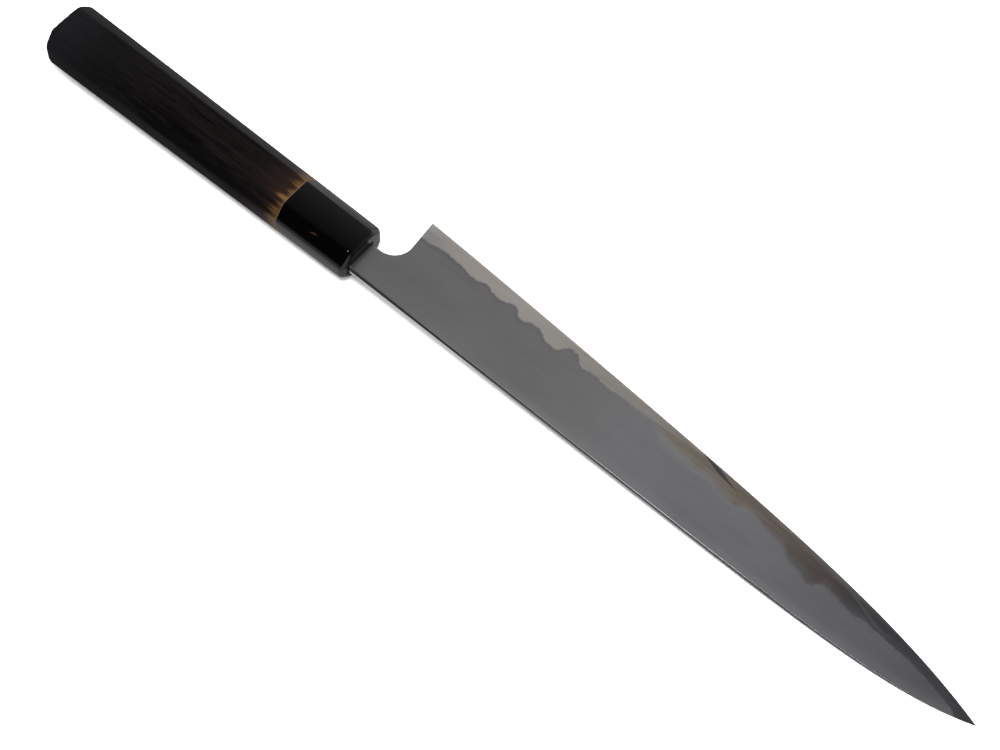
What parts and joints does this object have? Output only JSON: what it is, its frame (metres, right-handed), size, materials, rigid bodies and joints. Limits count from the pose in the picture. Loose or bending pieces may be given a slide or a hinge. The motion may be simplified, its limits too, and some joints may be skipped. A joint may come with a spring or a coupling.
{
  "type": "sujihiki knife",
  "caption": "Long, slim double-bevel slicing knife with a pointed blade, a curved choil and a tapered octagonal handle with a ferrule.",
  "frame": {"origin": "the middle of the bottom of the knife's box, as it lies on its right side", "axes": "+X along the handle's axis towards the tip, +Y towards the cutting edge, +Z out of the blade's left face"},
  "size_m": [0.4368, 0.0402, 0.0205],
  "materials": {
    "blade_steel": "fine satin polish with a hazy temper line",
    "horn": "polished black horn",
    "burnt_wood": "charred and brushed, satin",
    "dowel_wood": "plain, unfinished",
    "bedding_resin": "cured resin",
    "seal_resin": "dark, slightly glossy"
  },
  "bodies": {
    "root": {"blade": "blade_steel", "ferrule": "horn", "grip": "burnt_wood", "dowel_core": "dowel_wood", "tang_bedding": "bedding_resin", "mouth_seal": "seal_resin"}
  },
  "joints": []
}
